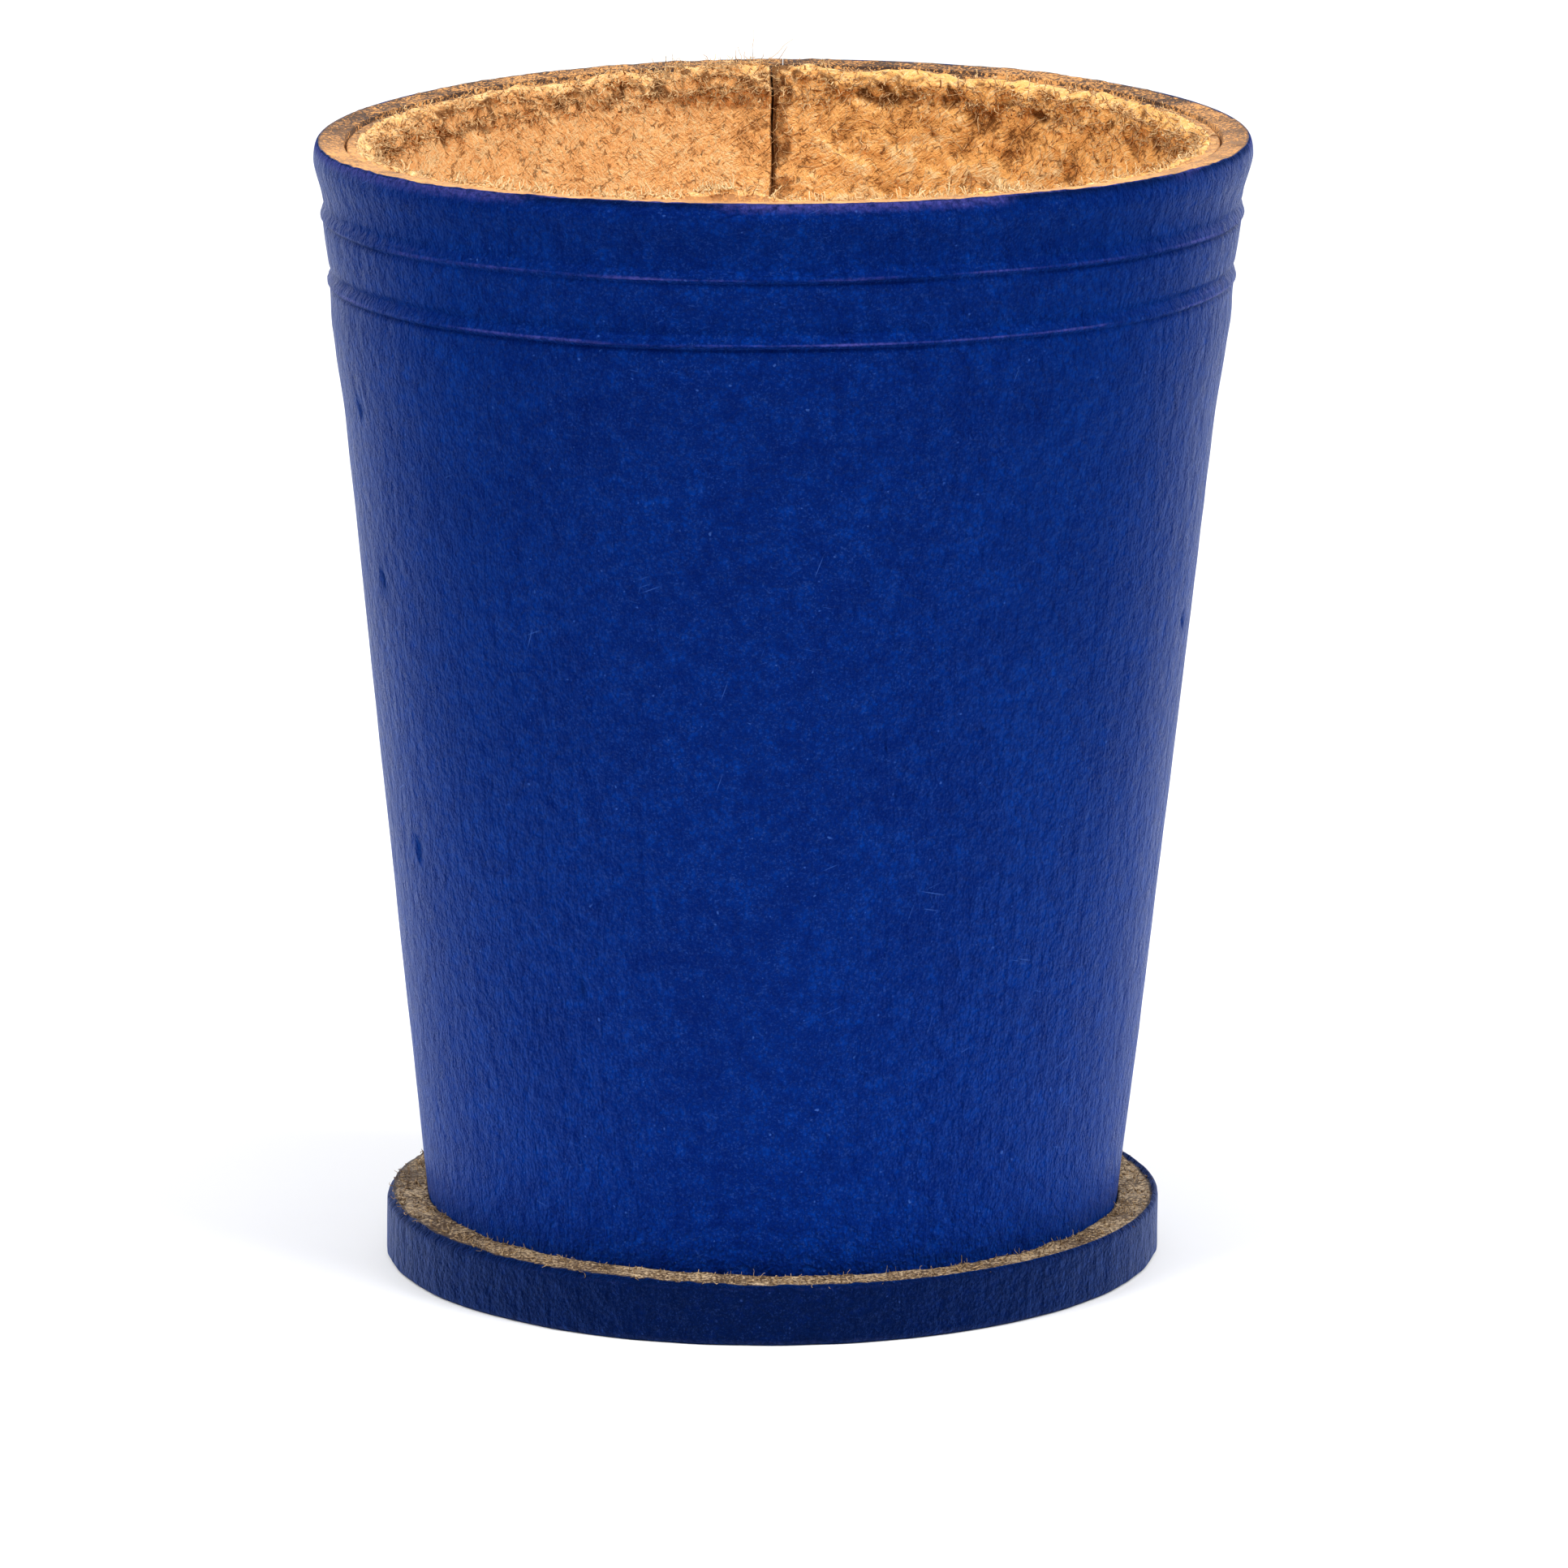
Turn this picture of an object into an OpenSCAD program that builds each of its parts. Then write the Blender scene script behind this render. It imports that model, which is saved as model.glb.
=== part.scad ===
// Leather dice cup: a tapering double wall with two pressed creases under the
// rim, a three-layer base and a raised leather band round the foot.
// The cup stands on z = 0 with its axis on Z. Its closing seam faces +Y.

/* [Cup] */
// Height from the table to the rim
cup_h = 98; // [90:0.5:110]
// Diameter over the rim, at the swollen lip
lip_d = 80; // [76:0.5:88]
// Diameter of the outer wall at the table, inside the foot band
foot_d = 58.8; // [54:0.2:62]

/* [Wall] */
// Thickness of the outer leather
shell_t = 2.3; // [1.8:0.1:3]
// Thickness of the suede liner
liner_t = 2.2; // [1.6:0.1:2.6]
// How far the liner ends below the rim
liner_drop = 1.5; // [0.5:0.1:3]
// Width of the closing joint in the outer leather
shell_joint = 0.4; // [0.2:0.1:0.8]
// Width of the closing joint in the liner
liner_joint = 0.3; // [0.2:0.1:0.8]

/* [Rim] */
// How far the lip swells beyond the straight wall
lip_swell = 0.4; // [0.2:0.05:0.8]
// Height of the rounding on the lip's outer corner
lip_round = 1.3; // [0.8:0.1:2]
// Distance of the upper crease below the rim
upper_crease = 5.7; // [5:0.1:8]
// Distance of the lower crease below the rim
lower_crease = 11.3; // [10.5:0.1:14]
// Depth of each crease
crease_depth = 0.3; // [0.1:0.05:0.6]
// Width of each crease
crease_w = 1.2; // [0.8:0.1:2]

/* [Base] */
// Thickness of the sole disc, which the cup stands on
sole_t = 2.5; // [1.5:0.1:3.5]
// Thickness of the stiff board above the sole
board_t = 1.8; // [1:0.1:3]
// Thickness of the suede floor pad
pad_t = 2; // [1:0.1:3]
// Height of the foot band
band_h = 5.2; // [4:0.1:7]
// Thickness of the foot band at its top edge
band_t = 3.5; // [2:0.1:4.5]
// Width of the foot band's butt joint
band_joint = 0.4; // [0.2:0.1:0.8]
// Angle from the back seam to the foot band's joint
band_joint_angle = 24; // [20:1:60]

/* [Back seam] */
// Diameter of the sewing thread
thread_d = 0.7; // [0.5:0.05:0.9]
// Distance between the two rows of stitch holes
row_spacing = 5; // [4:0.5:7]
// Height between one stitch and the next
stitch_pitch = 5.5; // [4.5:0.1:7]
// Height of the lowest stitch, above the foot band
first_stitch = 8.5; // [8:0.1:12]

/* [Hidden] */

// Space left for glue between neighbouring leathers
glue = 0.1;
// How far the lip's rounding reaches in over the top edge
lip_round_in = 0.6;
// Rounding of the liner's top edge and of the band's outer corners
edge_round = 0.6;
// Steps in the lip's swell, in each crease and in each rounded corner
curve_steps = 8;
// Faces round the cup
round_faces = 180;

foot_r = foot_d / 2;
lip_r = lip_d / 2;
top_r = lip_r - lip_swell * 0.75;
tilt = atan((top_r - foot_r) / cup_h);
lip_z = cup_h - lip_round;
upper_z = cup_h - upper_crease;
lower_z = cup_h - lower_crease;
board_z = sole_t;
inside_z = sole_t + board_t;
band_r = wall_r(band_h) + band_t;

// Straight outer wall, before the lip and the creases
function wall_r(z) = foot_r + (top_r - foot_r) * z / cup_h;
// Liner's outer face
function liner_r(z) = wall_r(z) - shell_t - glue;

// One pressed crease across the straight wall, from below to above
function crease(z) = [
    for (i = [0 : curve_steps])
        let (t = i / curve_steps - 0.5, h = z + t * crease_w)
            [wall_r(h) - crease_depth * (1 + cos(360 * t)) / 2, h]
];

// Lip swelling out from the upper crease to its widest point
function swell() = [
    for (i = [1 : curve_steps])
        let (t = i / curve_steps, from = upper_z + crease_w / 2, h = from + t * (lip_z - from))
            [wall_r(from) + (lip_r - wall_r(from)) * sin(90 * t), h]
];

// Quarter ellipse from a corner's side up to its top
function corner(r, z, across, up) = [
    for (i = [1 : curve_steps])
        let (a = 90 * i / curve_steps)
            [r - across * (1 - cos(a)), z + up * sin(a)]
];

// Where the thread enters the wall, in the seam's own frame:
// x across the seam, y out of the wall, z up along it
thread_r = thread_d / 2;
hole_r = thread_r + 0.15;
channel_r = thread_r + 0.08;
row_x = row_spacing / 2;
out_y = -0.15;
in_y = thread_r + 0.1 - shell_t;
stitches = floor((upper_z - crease_w - first_stitch) / stitch_pitch) + 1;

function stitch_z(i) = first_stitch + i * stitch_pitch;
// One whole stitch: across the outside, in, slanting back inside, and out
function stitch(i) = [
    [-row_x, out_y, stitch_z(i)],
    [row_x, out_y, stitch_z(i)],
    [row_x, in_y, stitch_z(i)],
    [-row_x, in_y, stitch_z(i + 1)]
];
// The thread's two ends go in through the lowest and the highest stitch hole
thread_path = [
    [-row_x, in_y, stitch_z(0)],
    for (i = [0 : stitches - 2]) each stitch(i),
    [-row_x, out_y, stitch_z(stitches - 1)],
    [row_x, out_y, stitch_z(stitches - 1)],
    [row_x, in_y, stitch_z(stitches - 1)]
];

module on_seam() {
    translate([0, foot_r, 0]) rotate([-tilt, 0, 0]) children();
}

// Thin slot through a wall at the back, turned by an angle
module joint(width, angle = 0) {
    rotate([0, 0, angle])
        translate([-width / 2, foot_r / 2, -1])
            cube([width, lip_r, cup_h + 2]);
}

// Straight bar from one point to another
module bar(from, to, r) {
    d = to - from;
    length = norm(d);
    translate(from)
        rotate([0, acos(d.z / length), atan2(d.y, d.x)])
            cylinder(h = length, r = r, $fn = 24);
}

// Holes and channels that the thread lies in
module thread_room() {
    on_seam() {
        for (i = [0 : stitches - 1]) {
            for (side = [-1, 1])
                bar([side * row_x, in_y, stitch_z(i)], [side * row_x, 1, stitch_z(i)], hole_r);
            bar([-row_x, out_y, stitch_z(i)], [row_x, out_y, stitch_z(i)], channel_r);
        }
        for (i = [0 : stitches - 2])
            bar([row_x, in_y, stitch_z(i)], [-row_x, in_y, stitch_z(i + 1)], channel_r);
    }
}

module outer_shell() {
    outline = concat(
        [[wall_r(0) - shell_t, 0], [wall_r(0), 0]],
        crease(lower_z),
        crease(upper_z),
        swell(),
        corner(lip_r, lip_z, lip_round_in, lip_round),
        [[wall_r(cup_h) - shell_t, cup_h]]
    );
    color("mediumblue")
        difference() {
            rotate_extrude($fn = round_faces) polygon(outline);
            joint(shell_joint);
            thread_room();
        }
}

module seam_thread() {
    color("midnightblue")
        on_seam()
            for (i = [0 : len(thread_path) - 2])
                hull() {
                    translate(thread_path[i]) sphere(r = thread_r, $fn = 8);
                    translate(thread_path[i + 1]) sphere(r = thread_r, $fn = 8);
                }
}

module liner() {
    top_z = cup_h - liner_drop;
    inner_top_r = liner_r(top_z) - liner_t;
    outline = concat(
        [[liner_r(inside_z), inside_z], [liner_r(top_z), top_z]],
        [
            for (i = [0 : curve_steps])
                let (a = 90 * i / curve_steps)
                    [inner_top_r + edge_round * (1 - sin(a)), top_z - edge_round * (1 - cos(a))]
        ],
        [[liner_r(inside_z) - liner_t, inside_z]]
    );
    color("burlywood")
        difference() {
            rotate_extrude($fn = round_faces) polygon(outline);
            joint(liner_joint);
        }
}

module floor_pad() {
    color("tan")
        translate([0, 0, inside_z])
            cylinder(h = pad_t, r = liner_r(inside_z) - liner_t - glue, $fn = round_faces);
}

module base_board() {
    color("saddlebrown")
        translate([0, 0, board_z])
            cylinder(h = board_t, r = liner_r(board_z), $fn = round_faces);
}

module sole_disc() {
    color("peru")
        cylinder(h = sole_t, r = liner_r(0), $fn = round_faces);
}

module foot_band() {
    low = [
        for (i = [0 : curve_steps])
            let (a = 90 * i / curve_steps)
                [band_r - edge_round * (1 - sin(a)), edge_round * (1 - cos(a))]
    ];
    outline = concat(
        [[wall_r(0) + glue, 0]],
        low,
        [[band_r, band_h - edge_round]],
        corner(band_r, band_h - edge_round, edge_round, edge_round),
        [[wall_r(band_h) + glue, band_h]]
    );
    color("navy")
        difference() {
            rotate_extrude($fn = round_faces) polygon(outline);
            joint(band_joint, band_joint_angle);
        }
}

outer_shell();
seam_thread();
liner();
floor_pad();
base_board();
sole_disc();
foot_band();
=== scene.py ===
"""Looks of the leather dice cup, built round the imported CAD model.

Lengths in this script are in millimetres and are turned into metres where meshes are made.
Angles round the cup start at the closing seam (+Y) and grow towards +X.
"""

import itertools
import math
from functools import partial

import bpy
import numpy as np
from mathutils import Matrix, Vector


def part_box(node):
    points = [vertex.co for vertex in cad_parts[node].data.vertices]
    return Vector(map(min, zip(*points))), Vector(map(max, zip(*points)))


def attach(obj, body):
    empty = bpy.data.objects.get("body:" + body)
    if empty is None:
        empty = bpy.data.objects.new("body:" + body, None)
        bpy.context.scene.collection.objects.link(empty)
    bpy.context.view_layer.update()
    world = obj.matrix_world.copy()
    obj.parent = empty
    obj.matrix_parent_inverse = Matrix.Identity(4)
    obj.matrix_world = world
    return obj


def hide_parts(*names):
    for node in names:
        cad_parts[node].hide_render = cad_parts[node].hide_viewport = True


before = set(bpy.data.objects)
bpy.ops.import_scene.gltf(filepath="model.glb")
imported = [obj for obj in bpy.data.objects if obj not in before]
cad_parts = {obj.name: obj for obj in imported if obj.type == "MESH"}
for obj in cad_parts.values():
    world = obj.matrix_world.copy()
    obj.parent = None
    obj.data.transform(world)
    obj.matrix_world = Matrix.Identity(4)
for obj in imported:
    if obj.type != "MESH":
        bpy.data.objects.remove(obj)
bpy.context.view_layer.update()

MM = 0.001
FULL_TURN = 2 * math.pi
# The depth layer's value away from a cut edge
DEEP = 3.0


# ---------------- sizes from the CAD model

def box_mm(node):
    """A CAD node's lowest and highest corner, in millimetres."""
    low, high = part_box(node)
    return np.array(low) / MM, np.array(high) / MM


SHELL_T = 2.3
GLUE = 0.1
LIP_PROUD = 0.3

CUP_H = box_mm("outer_shell")[1][2]
TOP_R = box_mm("outer_shell")[1][0] - LIP_PROUD
SOLE_R = box_mm("sole_disc")[1][0]
SOLE_T = box_mm("sole_disc")[1][2]
FOOT_R = SOLE_R + SHELL_T + GLUE
INSIDE_Z = box_mm("base_board")[1][2]
PAD_R = box_mm("floor_pad")[1][0]
PAD_TOP = box_mm("floor_pad")[1][2]
LINER_TOP = box_mm("liner")[1][2]
BAND_R = box_mm("foot_band")[1][0]
BAND_H = box_mm("foot_band")[1][2]


def wall_r(z):
    """The straight outer wall's radius at a height."""
    return FOOT_R + (TOP_R - FOOT_R) * z / CUP_H


LINER_T = wall_r(INSIDE_Z) - SHELL_T - 2 * GLUE - PAD_R
TILT = math.atan((TOP_R - FOOT_R) / CUP_H)

# How the hand-made cup departs from a true cone: it leans towards +X, its rim waves up and down,
# and it is a little wider all over
LEAN = 1.41
RIM_WAVE = 0.34
WIDER = 1.0018


def hand_shape(points):
    """Gives points of a true cup the real one's width, lean and wavy rim."""
    share = np.clip(points[..., 2] / CUP_H, 0, 1.2)
    angle = np.arctan2(points[..., 0], points[..., 1])
    made = points.copy()
    made[..., :2] *= WIDER
    made[..., 0] += LEAN * share
    made[..., 2] += RIM_WAVE * np.cos(2 * angle) * share**4
    return made


# ---------------- numbers and noise

# Random values along each side of the noise's lattice, after which it repeats
LATTICE = 64


def smooth_noise(points, size, seed):
    """Seeded noise from -1 to 1 at each point, in lumps about size across."""
    table = np.random.default_rng(seed).uniform(-1, 1, (LATTICE,) * 3)
    cell = points / size
    base = np.floor(cell).astype(int)
    t = cell - base
    t = t * t * (3 - 2 * t)
    total = np.zeros(points.shape[:-1])
    for corner in itertools.product((0, 1), repeat=3):
        weight = np.prod(np.where(np.array(corner) == 1, t, 1 - t), axis=-1)
        total += weight * table[tuple(np.moveaxis((base + corner) % LATTICE, -1, 0))]
    return total


def smoothstep(value, low, high):
    """0 below low, 1 above high, and a smooth S between them. high may be the smaller."""
    t = np.clip((value - low) / (high - low), 0, 1)
    return t * t * (3 - 2 * t)


def bell(value, centre, width):
    """1 at the centre, falling to about a third at width away."""
    return np.exp(-(((value - centre) / width) ** 2))


def unit(vectors):
    return vectors / np.maximum(np.linalg.norm(vectors, axis=-1, keepdims=True), 1e-9)


def steps(*stretches):
    """Values along stretches given as (start, end, spacing), with no value twice."""
    made = []
    for start, end, spacing in stretches:
        count = max(1, round(abs(end - start) / spacing))
        made.append(np.linspace(start, end, count, endpoint=False))
    return np.append(np.concatenate(made), stretches[-1][1])


# ---------------- meshes

def add_object(name, data):
    made = bpy.data.objects.new(name, data)
    bpy.context.scene.collection.objects.link(made)
    return made


def make_piece(name, points, faces, materials, face_material=None, layers=None, flat=()):
    """A mesh object that rides on the cup.

    points are in mm, layers are attributes with a number or a vector for each point, and flat
    lists the faces that aren't shaded smooth.
    """
    points = points.reshape(-1, 3)
    mesh = bpy.data.meshes.new(name)
    mesh.from_pydata(points * MM, [], faces)
    for material in materials:
        mesh.materials.append(material)
    if face_material is not None:
        mesh.polygons.foreach_set("material_index", np.asarray(face_material, np.int32))
    smooth = np.ones(len(mesh.polygons), bool)
    smooth[list(flat)] = False
    mesh.polygons.foreach_set("use_smooth", smooth)
    for layer, values in (layers or {}).items():
        values = np.asarray(values, np.float32).ravel()
        one_each = len(values) == len(points)
        kind, key = ("FLOAT", "value") if one_each else ("FLOAT_VECTOR", "vector")
        mesh.attributes.new(layer, kind, "POINT").data.foreach_set(key, values)
    mesh.validate()
    piece = add_object(name, mesh)
    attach(piece, "root")
    return piece


def grid_faces(rows, columns, close_rows=False, close_columns=False):
    """Quads over a grid of points stored row by row."""
    row = np.arange(rows if close_rows else rows - 1)[:, None]
    column = np.arange(columns if close_columns else columns - 1)[None, :]
    next_row, next_column = (row + 1) % rows, (column + 1) % columns
    corners = [
        row * columns + column, row * columns + next_column,
        next_row * columns + next_column, next_row * columns + column,
    ]
    return np.stack(np.broadcast_arrays(*corners), -1).reshape(-1, 4).tolist()


def round_points(radius, height, angle):
    """Points at a radius, height and angle from the seam, in an array of the arguments' shape."""
    radius, height, angle = np.broadcast_arrays(radius, height, angle)
    return np.stack([radius * np.sin(angle), radius * np.cos(angle), height], -1)


def seam_fractions(circumference, near, near_step, far_step):
    """Fractions of the way round an open ring, closer together near its two ends."""
    along = steps(
        (0, near, near_step),
        (near, circumference - near, far_step),
        (circumference - near, circumference, near_step),
    )
    return along / circumference


def ring_grid(radius, height, fractions, half_gap):
    """Angles, heights and radii over a ring that is cut by a slot of a given half width."""
    start = np.arcsin(half_gap / radius[:, None])
    angle = start + (FULL_TURN - 2 * start) * fractions
    return angle, *(np.repeat(values[:, None], len(fractions), 1) for values in (height, radius))


def ring_piece(name, points, materials, raw_rows, raw_ends, layers):
    """A piece from a cut ring's grid of points. Raw rows and ends have the second material."""
    rows, columns = points.shape[:2]
    faces = grid_faces(rows, columns, close_rows=True)
    ends = [
        list(range((rows - 1) * columns, -1, -columns)),
        list(range(columns - 1, rows * columns, columns)),
    ]
    raw = np.repeat(np.isin(np.arange(rows), raw_rows), columns - 1)
    return make_piece(
        name, points, faces + ends, materials, np.append(raw, [raw_ends] * 2), layers,
        flat=(len(faces), len(faces) + 1),
    )


# ---------------- materials

class Nodes:
    """The nodes of a material or world, put together by short calls."""

    def __init__(self, owner):
        self.owner = owner
        owner.use_nodes = True
        self.tree = owner.node_tree
        self.tree.nodes.clear()

    def node(self, kind, **settings):
        made = self.tree.nodes.new(kind)
        for key, value in settings.items():
            setattr(made, key, value)
        return made

    def feed(self, socket, value):
        """Links a socket to another node's output, or sets its own value."""
        if isinstance(value, bpy.types.NodeSocket):
            self.tree.links.new(value, socket)
        else:
            socket.default_value = value

    def math(self, operation, a, b=0.0):
        made = self.node("ShaderNodeMath", operation=operation)
        self.feed(made.inputs[0], a)
        self.feed(made.inputs[1], b)
        return made.outputs[0]

    def fade(self, value, low, high, to_low=0.0, to_high=1.0):
        """Smooth change of a value's range, held at the ends."""
        made = self.node("ShaderNodeMapRange", interpolation_type="SMOOTHSTEP")
        for socket, number in zip(made.inputs, (value, low, high, to_low, to_high)):
            self.feed(socket, number)
        return made.outputs[0]


class Shader(Nodes):
    """A material. Sizes are in millimetres."""

    def __init__(self, name):
        super().__init__(bpy.data.materials.new(name))
        self.place = self.node("ShaderNodeTexCoord").outputs["Object"]

    def attribute(self, name, output="Fac"):
        return self.node("ShaderNodeAttribute", attribute_name=name).outputs[output]

    def product(self, a, b):
        return self.math("MULTIPLY", a, b)

    def total(self, *values):
        """Sum of (amount, value) pairs."""
        made = 0.0
        for amount, value in values:
            made = self.math("ADD", self.product(value, amount), made)
        return made

    def scaled(self, size, stretch=(1, 1, 1), vector=None, unit=1 / MM, turn=0.0):
        """Coordinates in which a lump is 1 across. Turned coordinates lie on the skin's plane."""
        vector = vector or self.place
        if turn:
            turned = self.node("ShaderNodeVectorRotate", rotation_type="Z_AXIS")
            self.feed(turned.inputs["Vector"], vector)
            self.feed(turned.inputs["Angle"], turn)
            vector = turned.outputs[0]
        made = self.node("ShaderNodeVectorMath", operation="MULTIPLY")
        self.feed(made.inputs[0], vector)
        self.feed(made.inputs[1], [unit / size / s for s in stretch])
        return made.outputs[0]

    def warped(self, vector, size, amount, unit=1 / MM):
        """Coordinates pushed about by noise, by up to about half the amount."""
        push = self.noise(size, detail=1, output="Color", vector=vector, unit=unit)
        made = self.node("ShaderNodeVectorMath", operation="MULTIPLY_ADD")
        self.feed(made.inputs[0], push)
        self.feed(made.inputs[1], (amount / unit,) * 3)
        self.feed(made.inputs[2], vector)
        return made.outputs[0]

    def noise(self, size, detail=2, roughness=0.5, distortion=0, output="Fac", **where):
        made = self.node("ShaderNodeTexNoise")
        values = self.scaled(size, **where), 1, detail, roughness, distortion
        for name, value in zip(("Vector", "Scale", "Detail", "Roughness", "Distortion"), values):
            self.feed(made.inputs[name], value)
        return made.outputs[output]

    def cells(self, size, feature="F1", **where):
        made = self.node("ShaderNodeTexVoronoi", feature=feature)
        self.feed(made.inputs["Vector"], self.scaled(size, **where))
        self.feed(made.inputs["Scale"], 1)
        return made.outputs["Distance"]

    def mix(self, share, a, b):
        made = self.node("ShaderNodeMix", data_type="RGBA")
        self.feed(made.inputs[0], share)
        for socket, colour in ((made.inputs[6], a), (made.inputs[7], b)):
            self.feed(socket, colour if isinstance(colour, bpy.types.NodeSocket) else rgba(colour))
        return made.outputs[2]

    def finish(self, colour, roughness, height, **constants):
        """Ends the material. height is the relief in mm; constants are set on the shader itself."""
        shader = self.node("ShaderNodeBsdfPrincipled")
        self.feed(shader.inputs["Base Color"], colour)
        self.feed(shader.inputs["Roughness"], roughness)
        for key, value in constants.items():
            self.feed(shader.inputs[key.replace("_", " ")], value)
        bump = self.node("ShaderNodeBump")
        self.feed(bump.inputs["Distance"], MM)
        self.feed(bump.inputs["Height"], height)
        self.feed(shader.inputs["Normal"], bump.outputs["Normal"])
        out = self.node("ShaderNodeOutputMaterial")
        self.feed(out.inputs["Surface"], shader.outputs[0])
        return self.owner


def rgba(colour):
    return (*colour, 1.0)


# Linear colours
BURNT_DYE = (0.002, 0.003, 0.014)


def dyed_leather(name, dark, light, fleck_and_glint, worn_and_highlight_tone, tint):
    """Satin dyed grain leather: mottled dye, small pebbles with painted shade in their pits,
    painted glints, hairline scratches, worn high spots whose purple is partly a painted highlight.
    """
    s = Shader(name)
    skin = s.attribute("skin", "Vector")
    wear_and_highlight = s.attribute("wear_and_highlight")
    on_skin = dict(vector=skin, unit=1)
    cloud = s.noise(11, detail=4, roughness=0.6)
    streak = s.noise(1, detail=2, stretch=(1.4, 9, 1), **on_skin)
    blotch = s.noise(1.7, detail=5, roughness=0.7)
    mottle = s.total((0.3, cloud), (0.15, streak), (0.55, blotch))
    colour = s.mix(s.fade(mottle, 0.36, 0.62, 0, 0.6), dark, light)
    patch = s.fade(s.noise(0.9, detail=4, roughness=0.7), 0.54, 0.72)
    patch = s.product(patch, s.fade(cloud, 0.35, 0.6))
    colour = s.mix(s.product(patch, 0.9), colour, light)
    loose = s.warped(skin, 1.2, 0.4, unit=1)
    pebble = s.cells(1.1, feature="SMOOTH_F1", stretch=(1, 0.85, 1), vector=loose, unit=1)
    pores = s.cells(0.42, vector=loose, unit=1)
    fine = s.noise(0.2, detail=3, roughness=0.75)
    wrinkles = s.noise(1.5, detail=3, roughness=0.6, distortion=0.4, stretch=(1, 2.6, 1), **on_skin)
    # Painted shade: darker in the pits and pores of the grain
    hollow_shade = s.fade(s.total((0.5, pebble), (0.5, pores), (0.8, fine)), 0.6, 0.92)
    colour = s.mix(s.product(hollow_shade, 0.75), colour, dark)
    # Painted glints: light specks on the grain
    glint = s.product(s.fade(fine, 0.52, 0.66), s.fade(blotch, 0.3, 0.6, 0.3, 1))
    colour = s.mix(s.product(glint, 0.34), colour, fleck_and_glint)
    spots = s.fade(s.noise(0.42, detail=0), 0.84, 0.88)
    marks = s.fade(s.noise(7, detail=1), 0.6, 0.7)
    for turn in (0.35, -0.2, 1.2):
        line = s.fade(s.noise(0.16, detail=0, stretch=(26, 1, 1), turn=turn, **on_skin), 0.8, 0.86)
        spots = s.math("MAXIMUM", spots, s.product(line, marks))
    colour = s.mix(s.product(spots, 0.7), colour, fleck_and_glint)
    colour = s.mix(s.product(s.attribute("burnt"), 0.85), colour, BURNT_DYE)
    # Purple along the creases and under the lip is a painted highlight, partly worn dye; on the
    # band it is worn edges
    worn = s.fade(s.product(wear_and_highlight, s.noise(0.5, detail=4, roughness=0.75)), 0.15, 0.6)
    colour = s.mix(s.product(worn, 0.75), colour, worn_and_highlight_tone)
    relief = s.total((-0.3, pebble), (-0.15, pores), (0.17, fine), (0.05, blotch), (0.55, wrinkles))
    roughness = s.fade(s.total((0.6, fine), (0.4, blotch)), 0.3, 0.7, 0.24, 0.4)
    roughness = s.total((1, roughness), (0.4, s.attribute("burnt")))
    return s.finish(
        colour, roughness, relief, IOR=1.3, Specular_Tint=rgba(tint),
        Sheen_Weight=0.3, Sheen_Roughness=0.5, Sheen_Tint=rgba(tint),
    )


def cut_edge(name, dark, light, front_sheen, dye):
    """Raw cut leather: speckled fibre ends, a painted sheen that makes it lighter towards the cup's
    front, dye soaked in at its outer side.
    """
    s = Shader(name)
    depth = s.attribute("depth")
    speckle = s.noise(0.3, detail=3, roughness=0.7, distortion=0.3)
    drift = s.noise(5, detail=3)
    colour = s.mix(s.fade(s.total((0.75, speckle), (0.3, drift)), 0.48, 0.6), dark, light)
    pores = s.fade(s.noise(0.5, detail=3, roughness=0.7), 0.5, 0.36)
    colour = s.mix(s.product(pores, 0.75), colour, dark)
    # Painted sheen: lighter towards the cup's front
    colour = s.mix(s.product(s.attribute("wear_and_highlight"), 0.75), colour, front_sheen)
    ragged = s.math("ADD", depth, s.product(s.noise(0.8, detail=3), -0.3))
    colour = s.mix(s.product(s.fade(ragged, 0.08, -0.1), 0.7), colour, dye)
    relief = s.total((0.12, speckle), (0.06, s.noise(0.9, detail=2)))
    roughness = s.fade(speckle, 0.3, 0.7, 0.5, 0.8)
    return s.finish(colour, roughness, relief)


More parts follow.
